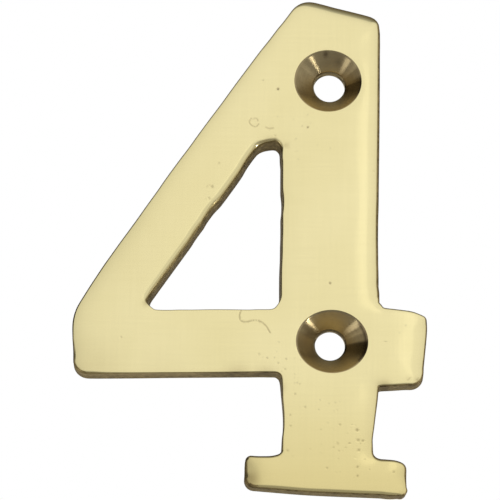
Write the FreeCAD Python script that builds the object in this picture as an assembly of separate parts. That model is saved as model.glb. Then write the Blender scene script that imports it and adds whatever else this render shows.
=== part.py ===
import FreeCAD
import Part
import math
import os

# Solid cast brass door numeral "4", millimetres and degrees.
# X runs to the right as seen from the front, Z up, and the polished face looks towards -Y.
# The flat back lies in the plane Y = 0, and the origin is midway between the two screws.
# Reaches are measured sideways from the line through the screws.
# Heights and depths are measured up and down from the origin.

# Casting
plate_thickness = 4.0
wall_draft = 4.0
front_edge_radius = 0.6

# Screw holes
screw_spacing = 40.3
screw_hole_diameter = 4.6
countersink_angle = 90.0
upper_countersink_diameter = 10.1
lower_countersink_diameter = 10.4

# Stem
stem_left_reach = 7.4
stem_right_reach = 7.15
stem_flare = 0.8
stem_right_height = 30.75
top_width = 12.65
top_rise = 3.25

# Crossbar
crossbar_reach = 38.1
crossbar_top_depth = 15.3
crossbar_width = 9.4
crossbar_sag = 0.5
crossbar_end_lean = 0.5
crossbar_tip_drop = 0.85

# Diagonal limb, from the top of the stem down to the tip of the crossbar
limb_width = 8.75
limb_bend_share = 0.796
limb_bulge = 0.53
counter_top_width = 3.0
counter_top_rise = 0.45

# Short arm to the right of the stem, carrying on from the crossbar
arm_reach = 14.35
arm_top_rise = 0.65
arm_width = 12.1
arm_shoulder_inset = 1.85
arm_shoulder_drop = 0.6
arm_tip_drop = 1.5
arm_bend_drop = 3.6
arm_base_rise = 0.5
arm_end_lean = 0.9

# Leg from the crossbar down to the foot
leg_length = 12.0
leg_waist_share = 0.53
leg_waist_inset = 0.6
leg_flare_left = 0.15
leg_taper_right = 1.5

# Foot
foot_left_reach = 12.4
foot_right_reach = 10.95
foot_height = 4.65
foot_base_share = 0.394
foot_base_middle_drop = 0.7
foot_base_right_drop = 1.1
foot_armpit_drop = 0.75
foot_shoulder_inset = 1.75
foot_shoulder_drop = 0.2
foot_tip_drop = 1.2

# Corner radii of the flat face; outer corners are rounder at the walls by the front edge radius
top_left_radius = 2.8
top_right_radius = 1.1
arm_armpit_radius = 1.0
arm_shoulder_radius = 6.9
arm_tip_radius = 0.25
arm_bend_radius = 19.4
arm_base_radius = 1.1
leg_armpit_radius = 0.5
foot_armpit_radius = 1.6
foot_shoulder_radius = 2.4
foot_tip_radius = 0.4
foot_right_radius = 0.1
foot_base_radius = 124.0
foot_left_radius = 0.65
foot_heel_radius = 0.1
leg_waist_radius = 18.5
crossbar_armpit_radius = 1.2
crossbar_base_radius = 1.7
crossbar_tip_radius = 6.3
limb_bend_radius = 38.0
counter_toe_radius = 1.3
counter_base_radius = 2.1
counter_top_radius = 1.35
counter_shoulder_radius = 2.3


def limb_corners():
    """Top, bend and lower end of the diagonal limb's outer side, in the plane of the back."""
    top_x = stem_right_reach + stem_flare - top_width
    top = FreeCAD.Vector(top_x, 0, stem_right_height + top_rise)
    tip = FreeCAD.Vector(-crossbar_reach, 0, -crossbar_top_depth - crossbar_tip_drop)
    bend = top + (tip - top) * limb_bend_share - side_normal(tip, top) * limb_bulge
    return top, bend, tip


def outline_corners():
    """Corners of the numeral's outer edge at the back, clockwise from the top left: x, z, radius."""
    limb_top, limb_bend, limb_tip = limb_corners()
    arm_top = -crossbar_top_depth + arm_top_rise
    arm_base = arm_top - arm_width
    crossbar_base = -crossbar_top_depth - crossbar_width
    foot_top = crossbar_base - leg_length
    foot_base = foot_top - foot_height
    foot_bend = -foot_left_reach + (foot_left_reach + foot_right_reach) * foot_base_share
    leg_waist = stem_left_reach - leg_waist_inset
    return [
        (limb_top.x, limb_top.z, top_left_radius),
        (stem_right_reach + stem_flare, stem_right_height, top_right_radius),
        (stem_right_reach, arm_top, arm_armpit_radius),
        (arm_reach - arm_shoulder_inset, arm_top - arm_shoulder_drop, arm_shoulder_radius),
        (arm_reach, arm_top - arm_tip_drop, arm_tip_radius),
        (arm_reach, arm_top - arm_bend_drop, arm_bend_radius),
        (arm_reach - arm_end_lean, arm_base + arm_base_rise, arm_base_radius),
        (stem_right_reach, arm_base, leg_armpit_radius),
        (stem_right_reach - leg_taper_right, foot_top - foot_armpit_drop, foot_armpit_radius),
        (foot_right_reach - foot_shoulder_inset, foot_top - foot_shoulder_drop, foot_shoulder_radius),
        (foot_right_reach, foot_top - foot_tip_drop, foot_tip_radius),
        (foot_right_reach, foot_base - foot_base_right_drop, foot_right_radius),
        (foot_bend, foot_base - foot_base_middle_drop, foot_base_radius),
        (-foot_left_reach, foot_base, foot_left_radius),
        (-foot_left_reach, foot_top, foot_heel_radius),
        (-leg_waist - leg_flare_left, foot_top, foot_armpit_radius),
        (-leg_waist, crossbar_base - leg_length * leg_waist_share, leg_waist_radius),
        (-stem_left_reach, crossbar_base, crossbar_armpit_radius),
        (-crossbar_reach + crossbar_end_lean, crossbar_base - crossbar_sag, crossbar_base_radius),
        (limb_tip.x, limb_tip.z, crossbar_tip_radius),
        (limb_bend.x, limb_bend.z, limb_bend_radius),
    ]


def counter_corners():
    """Corners of the triangular opening at the back, clockwise from its lower left: x, z, radius."""
    limb_top, limb_bend, limb_tip = limb_corners()
    inner = limb_bend + side_normal(limb_bend, limb_top) * limb_width
    rise = (limb_top.z - limb_bend.z) / (limb_top.x - limb_bend.x)
    top_x = -stem_left_reach - counter_top_width
    top_z = inner.z + (top_x - inner.x) * rise
    base_z = -crossbar_top_depth
    return [
        (inner.x + (base_z - inner.z) / rise, base_z, counter_toe_radius),
        (top_x, top_z, counter_shoulder_radius),
        (-stem_left_reach, top_z + counter_top_rise, counter_top_radius),
        (-stem_left_reach, base_z, counter_base_radius),
    ]


def side_normal(start, end):
    """Unit vector to the right of a side, which is inwards on a clockwise outline."""
    run = end - start
    return FreeCAD.Vector(run.z, 0, -run.x).normalize()


def inset(points, distance):
    """Move every side of an outline inwards by the same distance."""
    moved = []
    for i, point in enumerate(points):
        last = side_normal(points[i - 1], point)
        following = side_normal(point, points[(i + 1) % len(points)])
        moved.append(point + (last + following) * (distance / (1 + last.dot(following))))
    return moved


def soften_outer_corners(corners):
    """Corners with the front edge radius added to the radius of each outer one."""
    softened = []
    points = [FreeCAD.Vector(x, 0, z) for x, z, radius in corners]
    for i, (x, z, radius) in enumerate(corners):
        last = side_normal(points[i - 1], points[i])
        following = side_normal(points[i], points[(i + 1) % len(points)])
        is_outer = last.cross(following).y > 0
        softened.append((x, z, radius + front_edge_radius if is_outer else radius))
    return softened


def fitted_radii(points, radii):
    """The corner radii, made smaller where a side is too short for the arcs at both its ends."""
    tangents = []
    for i, (point, radius) in enumerate(zip(points, radii)):
        last = side_normal(points[i - 1], point)
        following = side_normal(point, points[(i + 1) % len(points)])
        tangents.append(radius * math.tan(last.getAngle(following) / 2))
    room = []
    for i, point in enumerate(points):
        room.append(0.98 * point.distanceToPoint(points[i - 1]) / (tangents[i] + tangents[i - 1]))
    return [radius * min(1, room[i], room[(i + 1) % len(points)]) for i, radius in enumerate(radii)]


def rounded_wire(points, radii):
    """Closed wire along an outline's sides, with an arc of its own radius at each corner."""
    arcs = []
    for i, (point, radius) in enumerate(zip(points, fitted_radii(points, radii))):
        last = side_normal(points[i - 1], point)
        following = side_normal(point, points[(i + 1) % len(points)])
        reach = radius if last.cross(following).y > 0 else -radius
        bisector = last + following
        centre = point + bisector * (reach / (1 + last.dot(following)))
        arcs.append((centre - last * reach, centre - bisector.normalize() * reach, centre - following * reach))
    edges = []
    for i, (start, middle, end) in enumerate(arcs):
        edges.append(Part.LineSegment(arcs[i - 1][2], start).toShape())
        edges.append(Part.Arc(start, middle, end).toShape())
    return Part.Wire(edges)


def tapered_solid(corners, back_y, front_y, lean):
    """Solid between two Y planes: true to the outline at Y = 0, its walls inset by lean towards -Y."""
    outline = [FreeCAD.Vector(x, 0, z) for x, z, radius in corners]
    radii = [radius for x, z, radius in corners]
    wires = []
    for y in (back_y, front_y):
        wire = rounded_wire(inset(outline, -y * lean), radii)
        wire.translate(FreeCAD.Vector(0, y, 0))
        wires.append(wire)
    return Part.makeLoft(wires, True, True)


def front_edges(solid):
    """Edges of a solid that lie in the plane of the front face."""
    found = []
    for edge in solid.Edges:
        box = edge.BoundBox
        if max(abs(box.YMin + plate_thickness), abs(box.YMax + plate_thickness)) < 1e-6:
            found.append(edge)
    return found


def screw_cutter(height, countersink_diameter):
    """Drilled hole with a countersink opening at the front face, on a level above the origin."""
    hole_radius = screw_hole_diameter / 2
    rim_radius = countersink_diameter / 2
    cone_depth = (rim_radius - hole_radius) / math.tan(math.radians(countersink_angle / 2))
    past = 1.0
    past_radius = rim_radius + past * math.tan(math.radians(countersink_angle / 2))
    profile = Part.makePolygon([
        FreeCAD.Vector(0, past, 0),
        FreeCAD.Vector(hole_radius, past, 0),
        FreeCAD.Vector(hole_radius, cone_depth - plate_thickness, 0),
        FreeCAD.Vector(past_radius, -plate_thickness - past, 0),
        FreeCAD.Vector(0, -plate_thickness - past, 0),
        FreeCAD.Vector(0, past, 0),
    ])
    cutter = Part.Face(profile).revolve(FreeCAD.Vector(0, 0, 0), FreeCAD.Vector(0, 1, 0), 360)
    cutter.translate(FreeCAD.Vector(0, 0, height))
    return cutter


def number_four():
    """The whole casting: drafted plate, drafted opening, rounded front edges and two screw holes."""
    lean = math.tan(math.radians(wall_draft))
    past = 1.0
    plate = tapered_solid(soften_outer_corners(outline_corners()), 0, -plate_thickness, lean)
    opening = tapered_solid(counter_corners(), past, -plate_thickness - past, -lean)
    casting = plate.cut(opening)
    casting = casting.makeFillet(front_edge_radius, front_edges(casting))
    casting = casting.cut(screw_cutter(screw_spacing / 2, upper_countersink_diameter))
    return casting.cut(screw_cutter(-screw_spacing / 2, lower_countersink_diameter))


os.makedirs("parts", exist_ok=True)
number_four().exportStep("parts/number_four.step")
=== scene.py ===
"""A solid brass door number, the figure 4, with two countersunk screw holes.

One casting: its face and edges are buffed bright, the walls keep the duller skin of the
mould, and the countersinks are turned. Blender, in metres, in the frame of the solid.
"""

import math
import random

import bmesh
import bpy
import numpy as np
from mathutils import Matrix, Vector, kdtree, noise


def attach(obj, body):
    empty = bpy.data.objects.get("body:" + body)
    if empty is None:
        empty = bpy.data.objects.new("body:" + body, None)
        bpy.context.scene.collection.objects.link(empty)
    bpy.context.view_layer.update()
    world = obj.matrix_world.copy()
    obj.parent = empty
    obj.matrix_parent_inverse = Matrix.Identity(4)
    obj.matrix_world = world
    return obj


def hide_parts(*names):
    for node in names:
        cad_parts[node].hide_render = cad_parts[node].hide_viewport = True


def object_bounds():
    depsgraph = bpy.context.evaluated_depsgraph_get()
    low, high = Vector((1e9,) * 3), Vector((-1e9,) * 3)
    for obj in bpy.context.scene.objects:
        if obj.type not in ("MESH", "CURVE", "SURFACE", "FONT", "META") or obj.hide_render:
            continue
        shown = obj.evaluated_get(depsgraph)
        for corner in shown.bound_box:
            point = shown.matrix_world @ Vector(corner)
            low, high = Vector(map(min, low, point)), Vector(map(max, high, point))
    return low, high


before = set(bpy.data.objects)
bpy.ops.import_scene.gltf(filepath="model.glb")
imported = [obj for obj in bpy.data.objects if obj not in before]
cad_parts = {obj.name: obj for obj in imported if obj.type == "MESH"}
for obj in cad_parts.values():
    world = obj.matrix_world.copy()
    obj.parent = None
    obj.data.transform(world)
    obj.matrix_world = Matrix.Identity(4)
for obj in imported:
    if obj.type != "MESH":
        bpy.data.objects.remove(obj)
cad_box = [list(corner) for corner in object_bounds()]

MM = 0.001
PLATE = 4.0 * MM
WALL_DRAFT = math.radians(4)
EDGE_RADIUS = 0.6 * MM
SCREW_HEIGHT = 20.15 * MM
SCREW_CENTRES = {"upper": Vector((0, 0, SCREW_HEIGHT)), "lower": Vector((0, 0, -SCREW_HEIGHT))}
COUNTERSINK = {"upper": 5.05 * MM, "lower": 5.2 * MM}
# The cutter ran a little off true: each rim's middle from the screw's axis, half width and
# half height in mm.
RIMS = {"upper": (-0.31, 0.07, 5.11, 4.97), "lower": (0.18, 0.05, 5.27, 4.71)}
SCREW_HOLE = {"upper": 2.38 * MM, "lower": 2.22 * MM}

# Heights at which the edge's finish changes.
TOP_FROM = 25 * MM
ARM_TOP = -13.5 * MM
LEG_FROM, LEG_BLEND = -25 * MM, 3.5 * MM
FOOT_BASE = -40 * MM
# The way that the counter's slope faces, its steps in x and z, and how near to it is inside.
SLOPE_WAY = (0.79, -0.61)
COUNTER_REACH = 1.3 * MM
# How squarely the front and the back face along y, and how sharp an edge stays an edge.
SQUARE = 0.9999
SHARP_ANGLE = math.radians(32)

# Where the front edge is rounder or crisper than along the rest: x, z, reach and radius in mm.
OUTLINE_ROUNDINGS = [
    (-36.2, -23.2, 1.8, 0.5), (-20.0, -24.6, 7.0, 0.12), (-12.0, -40.2, 2.2, 0.6), (-7.0, -41.5, 3.0, 0.75),
    (0.0, -42.0, 4.0, 0.75), (6.5, -42.3, 3.5, 0.7), (10.4, -41.2, 0.9, 0.15), (9.5, -26.6, 3.0, 0.42),
    (13.0, -26.0, 1.5, 0.42)]
COUNTER_ROUNDINGS = [(-8.4, 10.3, 1.2, 0.75)]

# Where the hand-filed edge strays outward from the solid's: x, z, reach and shift in mm.
OUTLINE_STRAYS = [
    (-6.2, 30.8, 1.4, -0.1), (-2.3, 32.6, 1.6, 0.13), (4.0, 31.0, 3.0, 0.08), (7.2, 29.7, 0.8, -0.12),
    (7.0, 16.4, 5.0, 0.07), (6.6, -2.5, 2.0, -0.04), (6.6, -10.6, 1.4, 0.12), (6.5, -13.0, 0.9, 0.3),
    (13.3, -19.7, 2.5, 0.05), (13.6, -16.4, 0.9, -0.06), (12.6, -25.3, 0.8, 0.15),
    (6.0, -30.3, 2.0, -0.05), (5.5, -34.2, 1.0, -0.05),
    (5.4, -35.4, 0.8, 0.2), (7.3, -37.5, 0.7, 0.08), (10.2, -40.6, 1.3, -0.16), (10.15, -41.85, 0.35, 0.3),
    (-12.0, -38.0, 0.8, 0.02), (-10.0, -37.0, 1.4, -0.15), (-7.2, -36.5, 0.6, -0.16),
    (-6.4, -34.8, 1.0, 0.18), (-11.8, -40.5, 0.5, 0.12), (-8.7, -25.0, 0.8, 0.08),
    (-31.0, -25.4, 3.5, 0.06), (-37.1, -22.0, 1.2, -0.04), (6.9, -14.8, 0.5, 0.35),
    (6.4, -27.5, 1.5, -0.05), (9.2, -37.6, 1.2, -0.12), (8.9, -41.7, 0.8, 0.16),
    (-36.5, -23.8, 0.9, 0.24), (-37.3, -18.4, 2.0, 0.06),
    (-34.4, -10.7, 2.0, 0.1), (-30.0, -4.0, 2.6, -0.06), (-23.0, 6.5, 2.5, 0.16),
    (-18.5, 13.0, 3.0, 0.18), (-14.0, 20.0, 3.0, 0.19), (-11.2, 23.5, 2.0, 0.16)]
COUNTER_STRAYS = [
    (-7.2, 9.9, 0.7, 0.12), (-12.3, 8.7, 1.4, -0.23), (-15.6, 3.8, 1.2, 0.04), (-18.4, -0.3, 1.2, -0.25),
    (-20.3, -3.0, 1.1, -0.12), (-22.8, -8.0, 3.0, 0.0), (-26.8, -15.2, 0.7, 0.25),
    (-24.3, -15.8, 1.0, -0.06), (-14.5, -15.8, 3.0, 0.15), (-10.0, -15.8, 1.3, 0.24),
    (-7.2, -14.6, 0.8, 0.26), (-6.7, -11.0, 2.0, 0.15), (-6.6, -2.7, 1.2, -0.04), (-6.6, 1.1, 1.0, -0.18),
    (-6.7, 8.8, 0.7, 0.14)]

# Where buffing took the face down more or less along the outline: x, z, reach, depth and run in mm.
OUTLINE_WEAR = [
    (-7.0, -29.0, 3.5, 0.03, 0.8), (-7.0, -34.0, 2.5, 0.04, 0.8), (-12.6, -39.5, 2.8, 0.6, 2.3),
    (-37.0, -18.0, 5.0, 0.26, 1.3), (-37.0, -24.0, 2.2, 0.16, 1.1), (-16.0, 12.0, 14.0, 0.2, 1.3),
    (-32.0, -10.0, 9.0, 0.3, 1.5)]
COUNTER_WEAR = [(-8.2, -12.0, 3.0, 0.15, 1.8), (-8.2, 0.0, 9.0, 0.26, 3.0)]

# Casting pits, left by sand and gas: x, z, radius and depth in mm.
PITS = [
    (-8.3, 11.46, 0.14, 0.038), (-7.89, 18.87, 0.16, 0.078), (-3.4, 12.78, 0.14, 0.06),
    (-10.17, 20.24, 0.13, 0.025), (-16.7, 6.97, 0.18, 0.034), (-17.65, 3.36, 0.20, 0.042),
    (-18.07, 1.49, 0.18, 0.038), (-17.6, 0.25, 0.14, 0.042), (-17.59, -0.37, 0.14, 0.042),
    (-5.6, 14.03, 0.11, 0.021), (-4.99, 8.96, 0.11, 0.021), (-0.04, 9.48, 0.11, 0.021),
    (-0.1, -11.37, 0.16, 0.064), (-30.56, -19.75, 0.14, 0.029), (-10.44, -22.09, 0.14, 0.038),
    (-9.28, -22.67, 0.14, 0.038), (-6.52, -22.79, 0.14, 0.034), (-7.68, -23.39, 0.14, 0.034),
    (-6.66, -24.27, 0.14, 0.034), (-5.2, -27.92, 0.14, 0.038), (-3.75, -29.81, 0.14, 0.034),
    (-5.91, -30.99, 0.14, 0.034), (-5.83, -32.58, 0.14, 0.034), (-4.91, -26.31, 0.13, 0.029),
    (3.72, -33.07, 0.18, 0.064), (3.91, -34.52, 0.18, 0.050), (4.56, -34.6, 0.16, 0.050),
    (2.63, -35.02, 0.14, 0.042), (0.98, -35.12, 0.14, 0.038), (1.28, -32.32, 0.14, 0.038),
    (3.98, -35.95, 0.16, 0.050), (3.76, -38.39, 0.16, 0.050), (3.77, -39.68, 0.15, 0.046),
    (8.95, -39.06, 0.14, 0.038), (-6.27, -36.12, 0.14, 0.038), (-0.6, -38.58, 0.14, 0.034)]
# Fields of finer pits: count, then middle x and z, half width and half height in mm.
PIT_FIELDS = [(26, -7.0, -23.5, 3.2, 3.6), (22, -3.0, -31.0, 4.5, 6.0), (20, 3.2, -36.0, 3.0, 4.5),
              (10, -6.0, 11.0, 5.0, 4.0), (8, 6.0, -21.0, 5.0, 4.0)]
# Painted shade in the bores: its darkness, how far it reaches from the axis and forward from the back.
BORE_SHADE, BORE_WIDTH, BORE_DEPTH = 0.85, 2.5 * MM, 1.2 * MM
# A dark crescent of painted shade right of the lower countersink: middle x and z, half width and half height
# in mm.
CRESCENT = (0.03, -20.1, 4.93, 4.78)
CRESCENT_SHADE, CRESCENT_FROM, CRESCENT_WIDTH = 0.8, 2 * MM, 0.26 * MM
# Painted shade on the counter's walls, darkest at the back.
COUNTER_SHADE, COUNTER_SHADE_DEPTH = 0.75, 3 * MM
# Stains left in the skin: x, z, reach in mm and how dark.
STAINS = [
    (-12.3, -38.3, 0.4, 0.3), (-12.2, -39.5, 0.5, 0.4), (-12.0, -40.6, 0.8, 0.6), (-11.4, -40.2, 1.2, 0.55),
    (-36.9, -24.4, 0.5, 0.12),
    (10.0, -42.3, 0.5, 0.3), (12.5, -25.6, 0.3, 0.5), (11.2, -25.5, 0.2, 0.5), (-27.0, -14.6, 0.5, 0.4),
    (-17.9, -0.3, 0.4, 0.25), (-8.3, 10.9, 0.3, 0.4), (-6.6, 9.9, 0.4, 0.3), (-34.0, -24.0, 4.0, 0.13),
    (-25.0, -24.5, 3.0, 0.05), (-12.5, -39.5, 3.0, 0.17), (7.8, -26.9, 0.9, 0.6), (-9.0, 10.1, 0.9, 0.5),
    (-0.64, 24.7, 0.35, 0.9), (1.35, 23.7, 0.5, 0.4), (-9.5, -25.9, 1.6, 0.5),
    (-13.5, -25.9, 1.8, 0.45), (-7.6, -27.0, 0.8, 0.5)]
# Shoulders of the counter where the mop reached further round the edge: x, z, reach in mm and how far.
BRIGHT_SHOULDERS = [(-9.9, 10.4, 1.1, 0.3), (-7.3, 10.3, 0.6, 0.3)]
# Shallow dents that the mop ran over: x, z, radius and depth in mm.
DENTS = [(-11.5, 13.4, 0.5, 0.02), (-9.21, 12.72, 0.4, 0.025)]
# Hair-thin scratches: half width and depth in mm, how dark with dirt and painted shade, then x and z of the
# bends.
SCRATCHES = [
    (0.1, 0.03, 0.55, [(-12.98, -15.3), (-13.5, -16.5), (-12.9, -17.5), (-10.9, -16.9), (-9.6, -17.6),
                       (-8.86, -18.9)]),
    (0.1, 0.02, 0.45, [(-11.9, 14.1), (-12.3, 13.6), (-11.9, 13.0), (-11.2, 12.7), (-10.8, 13.2)]),
    (0.1, 0.015, 0.4, [(-11.6, 14.0), (-11.1, 14.2), (-10.9, 13.7)]),
    (0.12, 0.015, 0.4, [(-9.9, 12.8), (-9.2, 12.5), (-8.6, 12.6)]),
    (0.1, 0.012, 0.2, [(-18.5, 3.3), (-17.9, 3.6), (-17.4, 3.2)]),
    (0.1, 0.012, 0.2, [(-18.6, 1.4), (-18.0, 1.6), (-17.6, 1.2)])]

# Sizes of the mesh: the wear's grid, the marks' mesh, the face's and the edge's.
GRID = 0.2 * MM
GRID_MARGIN = 2 * MM
MARK_CELL = 0.11 * MM
FACE_CELL = 0.42 * MM
EDGE_CELL = 0.34 * MM
ROUNDING_STEPS = 7
WALL_STEPS = 7
CONE_STEPS = 10
BORE_STEPS = 3
WELD = 0.002 * MM
EASING_TURNS = 6


# ---------------------------------------------------------------- the casting's mesh

def on_front(face):
    return face.normal.y < -SQUARE


def face_borders(node):
    """The border lines of a solid's flat front, copied from its mesh."""
    metal = bmesh.new()
    metal.from_mesh(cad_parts[node].data)
    bmesh.ops.remove_doubles(metal, verts=metal.verts, dist=WELD)
    metal.normal_update()
    behind = [face for face in metal.faces if not on_front(face)]
    bmesh.ops.delete(metal, geom=behind, context="FACES")
    inside = [edge for edge in metal.edges if not edge.is_boundary]
    bmesh.ops.delete(metal, geom=inside, context="EDGES_FACES")
    bmesh.ops.delete(metal, geom=metal.faces[:], context="FACES_ONLY")
    return metal


def in_order(metal):
    """The border lines, each a list of corners in turn: outline, counter, two screw holes."""
    metal.edges.index_update()
    ahead = set(metal.edges)
    lines = []
    while ahead:
        first = min(ahead, key=lambda edge: (edge.verts[0].co.x, edge.index))
        line, vert = [first.verts[0]], first.verts[1]
        ahead.discard(first)
        while vert is not line[0]:
            line.append(vert)
            edge = next(item for item in vert.link_edges if item in ahead)
            ahead.discard(edge)
            vert = edge.other_vert(vert)
        lines.append(line)
    return sorted(lines, key=lambda line: -length_of(line))


def length_of(line):
    return sum((line[n].co - line[n - 1].co).length for n in range(len(line)))


def shorten(metal, longest):
    """Splits the border's long edges into pieces no longer than this."""
    by_cuts = {}
    for edge in metal.edges:
        cuts = math.ceil(edge.calc_length() / longest) - 1
        if cuts:
            by_cuts.setdefault(cuts, []).append(edge)
    for cuts, edges in sorted(by_cuts.items()):
        bmesh.ops.subdivide_edges(metal, edges=edges, cuts=cuts)


def ease(line, turns):
    """Takes the facets out of a border line."""
    for turn in range(turns):
        middles = [(line[n - 1].co + line[(n + 1) % len(line)].co) / 2 for n in range(len(line))]
        for vert, middle in zip(line, middles):
            vert.co = vert.co.lerp(middle, 0.5)


def screw_at(point, spare=0.4 * MM):
    """The screw hole that a point belongs to, and its distance from that hole's axis."""
    for name, centre in SCREW_CENTRES.items():
        away = math.hypot(point.x - centre.x, point.z - centre.z)
        if away < COUNTERSINK[name] + spare:
            return name, away
    return None, 0


def outward(line, counter):
    """At each corner of a line, the level direction that leads off the metal."""
    area = sum(line[n - 1].co.x * line[n].co.z - line[n].co.x * line[n - 1].co.z for n in range(len(line)))
    sense = 1 if (area > 0) != counter else -1
    ways = []
    for n in range(len(line)):
        along = line[(n + 1) % len(line)].co - line[n - 1].co
        ways.append(Vector((along.z, 0, -along.x)).normalized() * sense)
    return ways


def nearby(place, spots, usual):
    """Sizes that are usual along an edge, blended into others near the spots that have their own."""
    pull_at_spot = 6
    weight, totals = 1.0, list(usual)
    for x, z, reach, *sizes in spots:
        off = (place[0] / MM - x) ** 2 + (place[2] / MM - z) ** 2
        pull = pull_at_spot * math.exp(-off / reach ** 2)
        weight += pull
        totals = [total + pull * size for total, size in zip(totals, sizes)]
    return [total / weight * MM for total in totals]


def on_leg(place):
    """0 above the leg and 1 along it and the foot, changing over a few millimetres."""
    return min(1, max(0, (LEG_FROM - place.z) / LEG_BLEND))


def facing_slope(way):
    """How squarely a wall faces the way that the counter's slope does, from 0 to 1."""
    return max(0, way.x * SLOPE_WAY[0] + way.z * SLOPE_WAY[1])


def rounding_at(place, way, counter):
    """Radius of the front edge, worn rounder on top and along the counter's slope."""
    if counter:
        return nearby(place, COUNTER_ROUNDINGS, [0.16 + 0.92 * facing_slope(way) ** 3])[0]
    top = 1.15 * max(0, way.z * 0.98 + way.x * 0.2) ** 4 if place.z > TOP_FROM else 0
    right = (0.27 if place.z > ARM_TOP else 0.08) * max(0, way.x) ** 4
    crisp = 0.26 - 0.09 * on_leg(place)
    return nearby(place, OUTLINE_ROUNDINGS, [crisp + top + right])[0]


def stray_at(place, way, counter):
    """How far the edge lies outward of the solid's; a rounder top edge also has to stand higher."""
    if counter:
        return nearby(place, COUNTER_STRAYS, [0.02])[0]
    hidden_from_below = 0.233
    rounder = max(0, rounding_at(place, way, counter) - EDGE_RADIUS)
    higher = hidden_from_below * rounder * max(0, way.z)
    return nearby(place, OUTLINE_STRAYS, [0.03])[0] + higher


def wear_at(place, way, counter):
    """How deep buffing took the face down at this edge, and how far in that runs."""
    if counter:
        depth, run = 0.01 + 0.04 * max(0, -way.x), 0.8
        return nearby(place, COUNTER_WEAR, [depth, run])
    right, up, down = max(0, way.x) ** 2, max(0, way.z) ** 2, max(0, -way.z) ** 2
    depth, run = 0.045 + 0.2 * right + 0.04 * up - 0.01 * down, 0.9 + 0.35 * right
    faces_left = way.x < -0.45
    return nearby(place, OUTLINE_WEAR if faces_left else [], [depth, run])


def draft_at(place, way, counter):
    """Tilt of the wall, less where it was filed: the counter's slope, the leg and what faces down."""
    most_filed = 0.85
    if counter:
        filed = facing_slope(way) ** 4
    else:
        filed = max(max(0, -way.z) ** 2, most_filed * on_leg(place))
    return WALL_DRAFT * (1 - most_filed * filed)


def wall_reach(radius, tilt):
    """How far the back's edge lies outside the border of the flat face."""
    return radius * math.cos(tilt) + (PLATE - radius + radius * math.sin(tilt)) * math.tan(tilt)


def profile(radius, tilt):
    """The edge in section, from the flat face down to the back: steps outward and y."""
    centre = wall_reach(EDGE_RADIUS, WALL_DRAFT) - wall_reach(radius, tilt)
    steps = []
    for n in range(ROUNDING_STEPS + 1):
        turn = math.radians(90) + (tilt - math.radians(90)) * n / ROUNDING_STEPS
        steps.append((centre + radius * math.cos(turn), -PLATE + radius - radius * math.sin(turn)))
    out, y = steps[-1]
    for n in range(1, WALL_STEPS + 1):
        share = n / WALL_STEPS
        steps.append((out - y * share * math.tan(tilt), y * (1 - share)))
    return steps


def border_rings(line, counter):
    """Rings of places from an edge of the flat face to the back, and what finds that edge again."""
    ways = outward(line, counter)
    sections = [profile(rounding_at(vert.co, way, counter), draft_at(vert.co, way, counter))
                for vert, way in zip(line, ways)]
    strays = [stray_at(vert.co, way, counter) for vert, way in zip(line, ways)]
    for vert, way, stray in zip(line, ways, strays):
        vert.co += way * stray
    rings = [[vert.co + way * section[step][0] for vert, way, section in zip(line, ways, sections)]
             for step in range(ROUNDING_STEPS + WALL_STEPS + 1)]
    for step, ring in enumerate(rings):
        for place, section in zip(ring, sections):
            place.y = section[step][1]
    tree = finder_of([(place.x, 0, place.z) for place in rings[0]])
    return rings, (tree, ways, [place.copy() for place in rings[0]], counter)


def countersink_rings(line):
    """Rings of places from a countersink's rim down its cone and its bore to the back."""
    name = screw_at(line[0].co)[0]
    centre, hole = SCREW_CENTRES[name], SCREW_HOLE[name]
    aside, above, half_width, half_height = (size * MM for size in RIMS[name])
    ways = [Vector((vert.co.x - centre.x, 0, vert.co.z - centre.z)).normalized() for vert in line]
    depth = COUNTERSINK[name] - hole
    steps = [(1 - n / CONE_STEPS, -PLATE + depth * n / CONE_STEPS) for n in range(CONE_STEPS + 1)]
    steps += [(0, (-PLATE + depth) * (1 - n / BORE_STEPS)) for n in range(1, BORE_STEPS + 1)]
    return [[centre + Vector(((aside + way.x * (half_width - hole)) * share + way.x * hole, y,
                              (above + way.z * (half_height - hole)) * share + way.z * hole))
             for way in ways] for share, y in steps]


def finder_of(points):
    """A tree that finds the nearest of some points."""
    tree = kdtree.KDTree(len(points))
    for n, point in enumerate(points):
        tree.insert(point, n)
    tree.balance()
    return tree


def grow_down(metal, line, rings):
    """Extrudes a border line through rings of places; gives the last ring's edges."""
    ring = list(line)
    for vert, place in zip(ring, rings[0]):
        vert.co = place
    for places_here in rings[1:]:
        grown = bmesh.ops.extrude_edge_only(metal, edges=edges_round(metal, ring))["geom"]
        fresh = {item for item in grown if isinstance(item, bmesh.types.BMVert)}
        ring = [next(edge.other_vert(vert) for edge in vert.link_edges if edge.other_vert(vert) in fresh)
                for vert in ring]
        for vert, place in zip(ring, places_here):
            vert.co = place
    return edges_round(metal, ring)


def edges_round(metal, ring):
    return [metal.edges.get((ring[n - 1], ring[n])) for n in range(len(ring))]


def fill(metal, edges, way):
    """Closes flat metal between border lines; gives the new faces."""
    done = bmesh.ops.triangle_fill(metal, use_beauty=True, use_dissolve=False, edges=edges, normal=way)
    return [item for item in done["geom"] if isinstance(item, bmesh.types.BMFace)]


def in_index_order(items):
    """Corners, edges or faces without repeats, in the same order on every run."""
    return sorted(set(items), key=lambda item: item.index)


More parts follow.
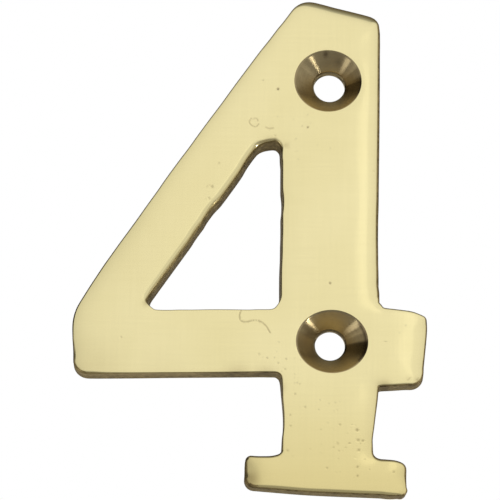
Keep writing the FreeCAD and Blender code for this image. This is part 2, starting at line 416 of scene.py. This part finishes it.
def slice_across(metal, faces, axis, low, high, step):
    """Cuts faces at evenly spaced planes square to one axis; gives the faces back."""
    for items in (metal.verts, metal.edges, metal.faces):
        items.index_update()
    normal = Vector((0, 0, 0))
    normal[axis] = 1
    edges = in_index_order(edge for face in faces for edge in face.edges)
    verts = in_index_order(vert for face in faces for vert in face.verts)
    geometry = verts + edges + list(faces)
    for count in range(math.ceil(low / step), math.floor(high / step) + 1):
        done = bmesh.ops.bisect_plane(metal, geom=geometry, dist=WELD, plane_co=normal * (count * step),
                                      plane_no=normal)
        geometry = done["geom"]
    return [item for item in geometry if isinstance(item, bmesh.types.BMFace)]


def scattered(fields):
    """Fine pits strewn over each field, the same each time."""
    rng = random.Random(4)
    pits = []
    for count, x, z, half_width, half_height in fields:
        for n in range(count):
            pits.append((x + half_width * rng.uniform(-1, 1), z + half_height * rng.uniform(-1, 1),
                         rng.uniform(0.07, 0.11), rng.uniform(0.01, 0.03)))
    return pits


def rounded_off(bends):
    """A line through bends, its corners cut twice."""
    for turn in range(2):
        cut = [bends[0]]
        for (x0, z0), (x1, z1) in zip(bends, bends[1:]):
            cut += [(x0 * 0.75 + x1 * 0.25, z0 * 0.75 + z1 * 0.25),
                    (x0 * 0.25 + x1 * 0.75, z0 * 0.25 + z1 * 0.75)]
        bends = cut + [bends[-1]]
    return bends


def mark_points():
    """Places on the face that need a finer mesh, in metres, each with its reach."""
    points = [((x * MM, 0, z * MM), radius * MM) for x, z, radius, depth in PITS + DENTS]
    for half_width, depth, dark, bends in SCRATCHES:
        points += [((x * MM, 0, z * MM), 0) for x, z in rounded_off(bends)]
    return points


def refine_marks(metal, faces):
    """Splits the edges of faces near the marks into pieces that can carry them."""
    metal.edges.index_update()
    points = mark_points()
    tree = finder_of([point for point, reach in points])
    by_cuts = {}
    for edge in in_index_order(edge for face in faces for edge in face.edges):
        middle = (edge.verts[0].co + edge.verts[1].co) / 2
        nearest, index, distance = tree.find((middle.x, 0, middle.z))
        cuts = math.ceil(edge.calc_length() / MARK_CELL) - 1
        if cuts > 0 and distance < 1.6 * points[index][1] + FACE_CELL:
            by_cuts.setdefault(cuts, []).append(edge)
    for cuts, edges in sorted(by_cuts.items()):
        edges = [edge for edge in edges if edge.is_valid]
        bmesh.ops.subdivide_edges(metal, edges=edges, cuts=cuts, use_grid_fill=True)


PITS += scattered(PIT_FIELDS)
metal = face_borders("number_four")
shorten(metal, EDGE_CELL)
lines = in_order(metal)
front_edges = metal.edges[:]
back_edges = []
edge_finders = []
for line, counter in zip(lines, (False, True)):
    ease(line, EASING_TURNS)
    rings, finder = border_rings(line, counter)
    edge_finders.append(finder)
    back_edges += grow_down(metal, line, rings)
for line in lines[2:]:
    back_edges += grow_down(metal, line, countersink_rings(line))
front = fill(metal, front_edges, (0, -1, 0))
fill(metal, back_edges, (0, 1, 0))
bmesh.ops.recalc_face_normals(metal, faces=metal.faces)
metal.normal_update()

low, high = cad_box
for axis in (0, 2):
    front = slice_across(metal, front, axis, low[axis], high[axis], FACE_CELL)
refine_marks(metal, front)
bmesh.ops.triangulate(metal, faces=metal.faces[:], quad_method="BEAUTY", ngon_method="BEAUTY")
metal.normal_update()


# ---------------------------------------------------------------- buffing, casting, dirt and painted shade

def blurred(field, reach):
    """A grid of values, each the mean of its surroundings within about this reach."""
    half = max(1, round(3 * reach / GRID))
    bell = np.exp(-0.5 * (np.arange(-half, half + 1) * GRID / reach) ** 2)
    bell /= bell.sum()
    for axis in (0, 1):
        padded = np.pad(field, [(half, half) if n == axis else (0, 0) for n in (0, 1)], mode="edge")
        field = np.apply_along_axis(np.convolve, axis, padded, bell, mode="valid")
    return field


def edge_wear(finder, start, columns, rows):
    """Depth that buffing took off the face along one edge, on a square grid."""
    tree, ways, spots, counter = finder
    wear = [wear_at(spot, way, counter) for spot, way in zip(spots, ways)]
    past_edge, easing = 0.8 * MM, 0.9 * MM
    far, deep, run = (np.zeros((columns, rows)) for n in range(3))
    for column in range(columns):
        for row in range(rows):
            place = Vector((start[0] + column * GRID, 0, start[1] + row * GRID))
            nearest, index, distance = tree.find(place)
            off = (place - nearest).dot(ways[index]) > 0
            far[column, row] = max(-past_edge, -distance) if off else distance
            deep[column, row], run[column, row] = wear[index]
    deep, run = blurred(deep, easing), blurred(run, easing)
    return deep * np.exp(-far / run)


def wear_grid(start, columns, rows):
    """Depth of the buffed face below a true flat, on a square grid."""
    rim_dish, rim_run = 0.035 * MM, 0.5 * MM
    drift_depth, drift_size, ripple_size = 0.016 * MM, 9 * MM, 3.5 * MM
    total = sum(edge_wear(finder, start, columns, rows) for finder in edge_finders)
    grid_x, grid_z = np.meshgrid(start[0] + np.arange(columns) * GRID, start[1] + np.arange(rows) * GRID,
                                 indexing="ij")
    for name, centre in SCREW_CENTRES.items():
        aside, above, half_width, half_height = (size * MM for size in RIMS[name])
        rims_off = np.hypot((grid_x - aside) / half_width, (grid_z - centre.z - above) / half_height)
        beyond = np.maximum(0, rims_off - 1) * half_width
        total += rim_dish * np.exp(-beyond / rim_run)
    drift = np.zeros((columns, rows))
    for column in range(columns):
        for row in range(rows):
            place = Vector((column, row, 7)) * GRID
            drift[column, row] = noise.noise(place / drift_size) + 0.25 * noise.noise(place / ripple_size)
    return blurred(total, 0.25 * MM) + drift_depth * (1 + drift)


GRID_START = (low[0] - GRID_MARGIN, low[2] - GRID_MARGIN)
GRID_SIZE = [math.ceil((high[n] - low[n] + 2 * GRID_MARGIN) / GRID) + 1 for n in (0, 2)]
WEAR = wear_grid(GRID_START, *GRID_SIZE)
WEAR_SLOPES = np.gradient(WEAR, GRID)


def read_grid(field, x, z):
    """Values of a grid at places between its points."""
    along, up = (x - GRID_START[0]) / GRID, (z - GRID_START[1]) / GRID
    column = np.clip(along.astype(int), 0, field.shape[0] - 2)
    row = np.clip(up.astype(int), 0, field.shape[1] - 2)
    along, up = along - column, up - row
    left = field[column, row] * (1 - up) + field[column, row + 1] * up
    right = field[column + 1, row] * (1 - up) + field[column + 1, row + 1] * up
    return left * (1 - along) + right * along


def scratched(x, z):
    """Depth and darkness of the scratches at places on the face."""
    total, mark_dirt_and_shade = np.zeros_like(x), np.zeros_like(x)
    for half_width, depth, dark, bends in SCRATCHES:
        nearest = np.full_like(x, 1.0)
        bends = rounded_off(bends)
        for (x0, z0), (x1, z1) in zip(bends, bends[1:]):
            run_x, run_z = (x1 - x0) * MM, (z1 - z0) * MM
            share = ((x - x0 * MM) * run_x + (z - z0 * MM) * run_z) / (run_x ** 2 + run_z ** 2)
            share = np.clip(share, 0, 1)
            off = np.hypot(x - x0 * MM - share * run_x, z - z0 * MM - share * run_z)
            nearest = np.minimum(nearest, off)
        near = np.exp(-(nearest / (half_width * MM)) ** 2)
        # Each scratch is darkened by its darkness: dirt and painted shade in the groove.
        total, mark_dirt_and_shade = total + depth * MM * near, np.maximum(mark_dirt_and_shade, dark * near)
    return total, mark_dirt_and_shade


def bell_at(x, z, at_x, at_z, reach):
    """1 at a spot given in mm, falling off within about this reach."""
    return np.exp(-((x - at_x * MM) ** 2 + (z - at_z * MM) ** 2) / (reach * MM) ** 2)


def pitted(x, z):
    """Depth and darkness of the pits and dents at places on the face."""
    widest_pit = 0.35
    total, mark_dirt_and_shade = np.zeros_like(x), np.zeros_like(x)
    for at_x, at_z, radius, depth in PITS + DENTS:
        near = bell_at(x, z, at_x, at_z, radius)
        total += depth * MM * near
        # Narrow pits darken with their depth: dirt and painted shade in the hollow.
        mark_dirt_and_shade = np.maximum(mark_dirt_and_shade, near * min(0.8, 9 * depth) if radius < widest_pit else 0)
    return total, mark_dirt_and_shade


def stained(x, z):
    """Darkness of the stains at places on the casting."""
    total = np.zeros_like(x)
    for at_x, at_z, reach, dark in STAINS:
        total = np.maximum(total, dark * bell_at(x, z, at_x, at_z, reach))
    return total


def marks(x, z):
    return scratched(x, z)[0] + pitted(x, z)[0]


def buffed_at(spot, way, in_counter):
    """How bright the mop left a spot, from the way that the metal faces: 0 skin, 1 mirror bright.

    Brightness starts where the metal faces the front by at least so much, and comes in softly.
    """
    top = min(1, 2.5 * max(0, way.z)) if spot.z > TOP_FROM else 0
    right = 0 if in_counter else min(1, 2.5 * max(0, way.x))
    least = 0.78 - 0.28 * top + 0.05 * right
    softness, most = 0.35 + 0.6 * top, 1
    faces_aside = abs(way.x) > 0.15
    if spot.z < FOOT_BASE and way.z < -0.1 and not faces_aside:
        least -= 0.15
    if in_counter:
        level = math.hypot(way.x, way.z) + 1e-6
        along_slope = (facing_slope(way) / level) ** 6
        at_apex = max(0, -way.z / level) ** 8
        near = [math.exp(-math.hypot(spot.x / MM - x, spot.z / MM - z) ** 2 / reach ** 2)
                for x, z, reach, pull in BRIGHT_SHOULDERS]
        pulled = sum(share * shoulder[3] for share, shoulder in zip(near, BRIGHT_SHOULDERS))
        least -= 0.42 * along_slope + 0.2 * at_apex + pulled
        softness += 0.5 * max(at_apex, along_slope) * (1 - min(1, near[0]))
        most -= 0.35 * max(near) if -way.y < 0.95 else 0
    elif way.z < -0.2 and faces_aside:
        least += 0.14
    least = min(0.93, least)
    buffed = min(most, max(0, (-way.y - least) / (softness * (1 - least))))
    if way.z < -0.5 and not in_counter:
        to_the_left = min(1, max(0, -spot.x / (7 * MM) - 2))
        to_the_front = min(1, max(0, -spot.y / PLATE - 0.1))
        buffed = max(buffed, 0.34 * to_the_left * to_the_front)
    return buffed


def dirt_and_shade_at(spot, dark, flat, in_counter):
    """Darkness of a spot: painted shade in the bores, in a crescent by the lower cone and in the counter's
    depths; elsewhere the darkness of its stains, and the dirt and painted shade of its marks.
    """
    name, away = screw_at(spot)
    # Painted shade in the bores.
    if name and away < BORE_WIDTH and spot.y > -BORE_DEPTH:
        return BORE_SHADE
    # Painted shade in a crescent just outside the lower cone's rim, on its right.
    at_x, at_z, half_width, half_height = CRESCENT
    past_cone = math.hypot((spot.x - at_x * MM) / half_width, (spot.z - at_z * MM) / half_height) - MM
    by_cone = spot.x > CRESCENT_FROM and screw_at(spot, CRESCENT_WIDTH)[0] == "lower"
    if past_cone > 0 and by_cone and not flat:
        return CRESCENT_SHADE
    # Painted shade down the counter's walls, darkest at the back.
    if in_counter:
        return max(dark, COUNTER_SHADE * min(1, max(0, 1 + spot.y / COUNTER_SHADE_DEPTH)))
    return dark


metal.verts.index_update()
flat_verts = {vert.index for face in metal.faces if on_front(face) for vert in face.verts}
places = np.array([vert.co[:] for vert in metal.verts])
x, z = places[:, 0], places[:, 2]
on_face = (places[:, 1] < -PLATE + 1e-7).astype(float)
taken = read_grid(WEAR, x, z) + on_face * marks(x, z)
small = 0.02 * MM
slope_x = read_grid(WEAR_SLOPES[0], x, z) + (marks(x + small, z) - marks(x - small, z)) / (2 * small)
slope_z = read_grid(WEAR_SLOPES[1], x, z) + (marks(x, z + small) - marks(x, z - small)) / (2 * small)
for vert, depth in zip(metal.verts, taken):
    vert.co.y *= 1 - float(depth) / PLATE

CAST, TURNED, BACK = range(3)
for face in metal.faces:
    face.smooth = True
    if face.normal.y > SQUARE:
        face.material_index = BACK
    elif screw_at(face.calc_center_median())[0] and not all(on_face[vert.index] for vert in face.verts):
        face.material_index = TURNED

polish = metal.verts.layers.float.new("polish")
dirt_and_shade = metal.verts.layers.float.new("dirt_and_shade")
metal.normal_update()
# Darkness of the stains, and the dirt and painted shade in the scratches and pits.
mark_dirt_and_shade = np.maximum(np.maximum(scratched(x, z)[1], pitted(x, z)[1]) * on_face, stained(x, z))
counter_tree = edge_finders[1][0]
for vert, dark, flat in zip(metal.verts, mark_dirt_and_shade, on_face):
    in_counter = counter_tree.find((vert.co.x, 0, vert.co.z))[2] < COUNTER_REACH
    vert[polish] = 1 if screw_at(vert.co)[0] else buffed_at(vert.co, vert.normal, in_counter)
    # Darkness for the base colour: stains and the marks' dirt, and painted shade in the bores, the counter
    # and by the lower cone.
    vert[dirt_and_shade] = dirt_and_shade_at(vert.co, float(dark), flat, in_counter)


def object_from(name, shape):
    """A finished bmesh as an object in the scene."""
    mesh = bpy.data.meshes.new(name)
    shape.to_mesh(mesh)
    shape.free()
    thing = bpy.data.objects.new(name, mesh)
    bpy.context.scene.collection.objects.link(thing)
    return thing


number = object_from("door_number_four", metal)
mesh = number.data
mesh.set_sharp_from_angle(angle=SHARP_ANGLE)
normals = [corner.vector.copy() for corner in mesh.corner_normals]
for face in mesh.polygons:
    for corner in face.loop_indices:
        vert = mesh.loops[corner].vertex_index
        if face.material_index == BACK:
            normals[corner] = Vector((0, 1, 0))
        elif face.material_index == CAST and vert in flat_verts:
            normals[corner] = Vector((slope_x[vert], -1, slope_z[vert])).normalized()
mesh.normals_split_custom_set(normals)


# ---------------------------------------------------------------- finishes

class Nodes:
    """A node tree with short words for its nodes."""

    def __init__(self, tree):
        self.tree = tree

    def add(self, kind, **settings):
        node = self.tree.nodes.new(kind)
        for key, value in settings.items():
            setattr(node, key, value)
        return node

    def link(self, a, b):
        self.tree.links.new(a, b)

    def feed(self, socket, value):
        if isinstance(value, bpy.types.NodeSocket):
            self.link(value, socket)
        else:
            socket.default_value = value

    def reckon(self, operation, *values):
        node = self.add("ShaderNodeMath", operation=operation)
        for socket, value in zip(node.inputs, values):
            self.feed(socket, value)
        return node.outputs[0]

    def span(self, value, low, high, to_low=0.0, to_high=1.0, kind="LINEAR"):
        node = self.add("ShaderNodeMapRange", interpolation_type=kind)
        self.link(value, node.inputs["Value"])
        for key, number in (("From Min", low), ("From Max", high), ("To Min", to_low), ("To Max", to_high)):
            node.inputs[key].default_value = number
        return node.outputs[0]

    def soft_span(self, value, low, high, to_low, to_high):
        return self.span(value, low, high, to_low, to_high, "SMOOTHSTEP")

    def length(self, vector):
        node = self.add("ShaderNodeVectorMath", operation="LENGTH")
        self.link(vector, node.inputs[0])
        return node.outputs["Value"]

    def split(self, vector):
        node = self.add("ShaderNodeSeparateXYZ")
        self.link(vector, node.inputs[0])
        return node.outputs


class Finish(Nodes):
    """A material of its own, with a shader that its nodes feed."""

    def __init__(self, name):
        self.material = bpy.data.materials.new(name)
        self.material.use_nodes = True
        super().__init__(self.material.node_tree)
        self.tree.nodes.clear()
        self.output = self.add("ShaderNodeOutputMaterial")
        self.shader = self.add("ShaderNodeBsdfPrincipled")
        self.link(self.shader.outputs[0], self.output.inputs["Surface"])
        self.coordinates = self.add("ShaderNodeTexCoord").outputs["Object"]

    def set(self, **values):
        """Feeds the shader's sockets, their names written with underscores."""
        for key, value in values.items():
            self.feed(self.shader.inputs[key.replace("_", " ")], value)

    def attribute(self, name):
        return self.add("ShaderNodeAttribute", attribute_name=name).outputs["Fac"]

    def stretched(self, scale=(1, 1, 1), turn=(0, 0, 0)):
        node = self.add("ShaderNodeMapping")
        self.link(self.coordinates, node.inputs["Vector"])
        node.inputs["Scale"].default_value = scale
        node.inputs["Rotation"].default_value = turn
        return node.outputs[0]

    def grain(self, size, detail=2, rough=0.5, where=None):
        """Noise whose blotches are about this many metres across."""
        node = self.add("ShaderNodeTexNoise")
        node.inputs["Scale"].default_value = 1 / size
        node.inputs["Detail"].default_value = detail
        node.inputs["Roughness"].default_value = rough
        self.link(where or self.coordinates, node.inputs["Vector"])
        return node.outputs["Fac"]

    def mix(self, share, a, b, blend_type="MIX"):
        node = self.add("ShaderNodeMix", data_type="RGBA", blend_type=blend_type)
        self.feed(node.inputs[0], share)
        self.feed(node.inputs[6], a)
        self.feed(node.inputs[7], b)
        return node.outputs[2]

    def blend(self, share, a, b):
        node = self.add("ShaderNodeMix", data_type="FLOAT")
        self.feed(node.inputs[0], share)
        self.feed(node.inputs[2], a)
        self.feed(node.inputs[3], b)
        return node.outputs[0]

    def bump(self, height, distance):
        node = self.add("ShaderNodeBump")
        node.inputs["Distance"].default_value = distance
        self.link(height, node.inputs["Height"])
        self.link(node.outputs[0], self.shader.inputs["Normal"])


def cast_brass():
    """Buffed bright where the attribute 'polish' is 1, the mould's skin where it is 0."""
    brass = Finish("cast_brass")
    polish, dirt_and_shade = brass.attribute("polish"), brass.attribute("dirt_and_shade")
    tone = brass.span(brass.grain(14 * MM, 3), 0.35, 0.65)
    bright = brass.mix(tone, (0.82, 0.725, 0.385, 1), (0.85, 0.755, 0.415, 1))
    low_down = brass.span(brass.split(brass.coordinates)["Z"], -26 * MM, -40 * MM)
    bright = brass.mix(low_down, bright, (0.75, 0.64, 0.30, 1))
    streaks = brass.reckon("ADD", brass.grain(0.3 * MM, 2, 0.5, brass.stretched((1, 1, 0.03))),
                           brass.grain(0.3 * MM, 2, 0.5, brass.stretched((0.03, 1, 1))))
    bright = brass.mix(brass.span(streaks, 0.7, 1.3, 0, 0.07), bright, (0.55, 0.46, 0.22, 1))
    stain = brass.span(brass.grain(0.9 * MM, 5, 0.65), 0.39, 0.6)
    dull = brass.mix(stain, (0.17, 0.125, 0.055, 1), (0.38, 0.29, 0.13, 1))
    half_bright = brass.mix(brass.span(polish, 0, 0.55), dull, (0.50, 0.385, 0.16, 1))
    clean = brass.mix(brass.span(polish, 0.45, 1), half_bright, bright)
    smooth = brass.span(brass.grain(5 * MM, 3), 0.3, 0.7, 0.09, 0.13)
    # The attribute of dirt and painted shade darkens the colour: stains, dirt and painted shade in the marks,
    # and painted shade down the counter's walls.
    brass.set(Base_Color=brass.mix(dirt_and_shade, clean, (0.36, 0.30, 0.25, 1), "MULTIPLY"), Metallic=1,
              Specular_Tint=brass.mix(polish, (0.98, 0.9, 0.74, 1), (1, 0.9, 0.66, 1)),
              Roughness=brass.blend(polish, 0.48, smooth))
    lines = brass.grain(0.35 * MM, 3, 0.6, brass.stretched((1, 1, 0.04)))
    skin = brass.grain(0.45 * MM, 4, 0.65)
    height = brass.blend(brass.span(polish, 0, 0.4), skin, brass.span(lines, 0, 1, 0.48, 0.52))
    brass.bump(height, 0.06 * MM)
    return brass.material


def turned_brass():
    """The countersinks, with the cutter's rings round each screw's axis, and painted reflection and shade on
    the cones.
    """
    brass = Finish("turned_brass")
    place = brass.split(brass.coordinates)
    above = brass.reckon("SUBTRACT", brass.reckon("ABSOLUTE", place["Z"]), SCREW_HEIGHT)
    above = brass.reckon("MULTIPLY", above, brass.reckon("SIGN", place["Z"]))
    from_axis = brass.add("ShaderNodeCombineXYZ")
    brass.link(place["X"], from_axis.inputs["X"])
    brass.link(above, from_axis.inputs["Z"])
    rings = brass.add("ShaderNodeTexNoise", noise_dimensions="1D")
    brass.link(brass.length(from_axis.outputs[0]), rings.inputs["W"])
    rings.inputs["Scale"].default_value = 1 / (0.16 * MM)
    rings.inputs["Detail"].default_value = 2
    tone = brass.reckon("ADD", brass.span(brass.grain(1.6 * MM, 3), 0.3, 0.7, 0, 0.6),
                        brass.span(rings.outputs["Fac"], 0.3, 0.7, 0, 0.4))
    clean = brass.mix(tone, (0.31, 0.23, 0.115, 1), (0.47, 0.375, 0.195, 1))
    # Painted reflection: the lower part of each cone, which faces up, is coloured brighter.
    clean = brass.mix(brass.span(above, -1.8 * MM, -3.8 * MM), clean, (1.0, 0.80, 0.40, 1))
    # Painted shade: the upper part of each cone, which faces down, is coloured darker.
    clean = brass.mix(brass.span(above, 1.0 * MM, 3.0 * MM, 0, 0.6), clean, (0.29, 0.235, 0.125, 1))
    # Painted shade: a dark sector on the right of each cone, from about 84 to 132 degrees round from the top.
    around = brass.reckon("ARCTAN2", place["X"], above)
    painted_dark_sector = brass.reckon("MULTIPLY", brass.span(around, math.radians(84), math.radians(89)),
                        brass.span(around, math.radians(108), math.radians(132), 0.68, 0))
    clean = brass.mix(painted_dark_sector, clean, (0.07, 0.048, 0.022, 1))
    # The attribute of dirt and painted shade darkens it, chiefly with painted shade in the bores and by the
    # lower cone.
    brass.set(Base_Color=brass.mix(brass.attribute("dirt_and_shade"), clean, (0.09, 0.06, 0.03, 1)), Metallic=1,
              Specular_Tint=(1, 0.88, 0.6, 1), Roughness=0.24, Coat_Weight=0.17, Coat_Roughness=0.19,
              Anisotropic=0.75, Tangent=from_axis.outputs[0])
    brass.bump(rings.outputs["Fac"], 0.0005 * MM)
    return brass.material


def plain_back():
    """The back, linished flat."""
    brass = Finish("linished_back")
    tone = brass.span(brass.grain(6 * MM, 4, 0.6), 0.3, 0.7)
    brass.set(Base_Color=brass.mix(tone, (0.46, 0.38, 0.19, 1), (0.58, 0.49, 0.25, 1)), Metallic=1,
              Roughness=0.42)
    lines = brass.grain(0.3 * MM, 3, 0.6, brass.stretched((1, 1, 0.03), (0, math.radians(18), 0)))
    brass.bump(lines, 0.05 * MM)
    return brass.material


for material in (cast_brass(), turned_brass(), plain_back()):
    mesh.materials.append(material)


# ---------------------------------------------------------------- studio

FLOOR_LEVEL = -0.3
# How bright the tent is at each angle in degrees from its brightest spot.
TENT = [(0, 1.0), (6, 1.0), (12, 0.985), (20, 0.905), (30, 0.81), (46, 0.69), (62, 0.54), (80, 0.43),
        (102, 0.35), (128, 0.22), (180, 0.18)]


def lit_for_the_eye(finish, share=None):
    """Shows a finish to camera, glossy and transmission rays as white, wholly or by a share."""
    rays = finish.add("ShaderNodeLightPath").outputs
    seen = finish.reckon("MAXIMUM", rays["Is Camera Ray"], rays["Is Glossy Ray"])
    seen = finish.reckon("MAXIMUM", seen, rays["Is Transmission Ray"])
    if share is not None:
        seen = finish.reckon("MULTIPLY", seen, share)
    choose = finish.add("ShaderNodeMixShader")
    finish.link(seen, choose.inputs[0])
    finish.link(finish.shader.outputs[0], choose.inputs[1])
    finish.link(finish.add("ShaderNodeEmission").outputs[0], choose.inputs[2])
    finish.link(choose.outputs[0], finish.output.inputs["Surface"])


def stage_floor():
    """A wide pale floor, well below the object."""
    plate = bmesh.new()
    bmesh.ops.create_grid(plate, x_segments=1, y_segments=1, size=1.5)
    bmesh.ops.translate(plate, verts=plate.verts, vec=(0, 0, FLOOR_LEVEL))
    floor = object_from("floor", plate)
    pale = Finish("pale_floor")
    pale.set(Base_Color=(0.86, 0.86, 0.86, 1), Roughness=0.7)
    # The floor's white glow grows from a share of 0.1 near the middle to 0.8 far out: painted shade below the
    # object.
    far = pale.soft_span(pale.length(pale.coordinates), 0.3, 1.3, 0.1, 0.8)
    lit_for_the_eye(pale, far)
    floor.data.materials.append(pale.material)


def backdrop():
    """A white card behind the object, as wide as the picture needs."""
    card = bmesh.new()
    bmesh.ops.create_grid(card, x_segments=1, y_segments=1, size=0.17)
    bmesh.ops.rotate(card, verts=card.verts, cent=(0, 0, 0), matrix=Matrix.Rotation(math.radians(90), 3, "X"))
    bmesh.ops.translate(card, verts=card.verts, vec=(-0.013, 0.62, 0.16))
    board = object_from("backdrop", card)
    white = Finish("white_card")
    lit_for_the_eye(white)
    board.data.materials.append(white.material)


def direction(right, up):
    """The way to a lamp in front of the object, in degrees to the right and up."""
    right, up = math.radians(right), math.radians(up)
    return Vector((math.sin(right) * math.cos(up), -math.cos(right) * math.cos(up), math.sin(up)))


def studio_world():
    """A soft pale tent in front of the object that falls away to the sides, overhead and behind."""
    world = bpy.data.worlds.new("studio")
    bpy.context.scene.world = world
    world.use_nodes = True
    tent = Nodes(world.node_tree)
    tent.tree.nodes.clear()
    output, cloth = tent.add("ShaderNodeOutputWorld"), tent.add("ShaderNodeBackground")
    tent.link(cloth.outputs[0], output.inputs[0])
    cloth.inputs["Color"].default_value = (1, 1, 1, 1)
    look = tent.add("ShaderNodeTexCoord").outputs["Generated"]
    to_key = tent.add("ShaderNodeVectorMath", operation="DOT_PRODUCT")
    tent.link(look, to_key.inputs[0])
    to_key.inputs[1].default_value = direction(8, 17)
    fall = tent.add("ShaderNodeValToRGB")
    fall.color_ramp.interpolation = "B_SPLINE"
    ramp = fall.color_ramp.elements
    for degrees, level in TENT:
        stop = ramp[0] if degrees == 0 else ramp[-1] if degrees == 180 else ramp.new(degrees / 180)
        stop.color = (level, level, level, 1)
    angle = tent.reckon("ARCCOSINE", to_key.outputs["Value"])
    tent.link(tent.reckon("DIVIDE", angle, math.pi), fall.inputs[0])
    place = tent.split(look)
    overhead = tent.soft_span(place["Z"], 0.45, 0.92, 1.0, 0.55)
    right_side = tent.soft_span(place["X"], 0.5, 0.95, 1, 1.3)
    # A black flag hangs on the left, above the level of the object.
    flag = tent.reckon("MULTIPLY", tent.soft_span(place["X"], -0.75, -0.5, 1, 0),
                       tent.soft_span(place["Z"], 0.14, 0.22, 0, 1))
    flag = tent.reckon("MULTIPLY", flag, tent.soft_span(place["Z"], 0.6, 0.75, 1, 0))
    level = fall.outputs[0]
    for share in (overhead, tent.soft_span(flag, 0, 1, 1, 0.08), right_side):
        level = tent.reckon("MULTIPLY", level, share)
    tent.link(level, cloth.inputs["Strength"])


def softbox(name, place, size, power):
    """A lamp that faces the object, hidden from the camera."""
    light = bpy.data.lights.new(name, "AREA")
    light.shape = "RECTANGLE"
    light.size, light.size_y = size
    light.energy = power
    lamp = bpy.data.objects.new(name, light)
    lamp.location = place
    lamp.rotation_euler = (-Vector(place)).to_track_quat("-Z", "Y").to_euler()
    lamp.visible_camera = False
    bpy.context.scene.collection.objects.link(lamp)


def camera():
    """Looks up at the object from 15 degrees below, as the photographer did."""
    data = bpy.data.cameras.new("camera")
    data.lens, data.sensor_width = 123.84, 36
    right = (0.999957, 0, 0.009272)
    up = (-0.008956, -0.258819, 0.965885)
    back = (0.0024, -0.965926, -0.258808)
    place = (-0.011284, -0.249209, -0.072165)
    eye = bpy.data.objects.new("camera", data)
    eye.matrix_world = Matrix([*zip(right, up, back, place), (0, 0, 0, 1)])
    bpy.context.scene.collection.objects.link(eye)
    bpy.context.scene.camera = eye


stage_floor()
backdrop()
studio_world()
softbox("edge_strip", direction(9.8, 15) * 0.9, (0.095, 0.22), 0.0105)
softbox("right_lamp", (0.295, -0.078, -0.257), (0.12, 0.04), 0.22)
softbox("left_lamp", (-0.307, -0.093, -0.237), (0.1, 0.1), 0.07)
camera()
bpy.context.scene.view_settings.view_transform = "Standard"

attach(number, "root")
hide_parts("number_four")
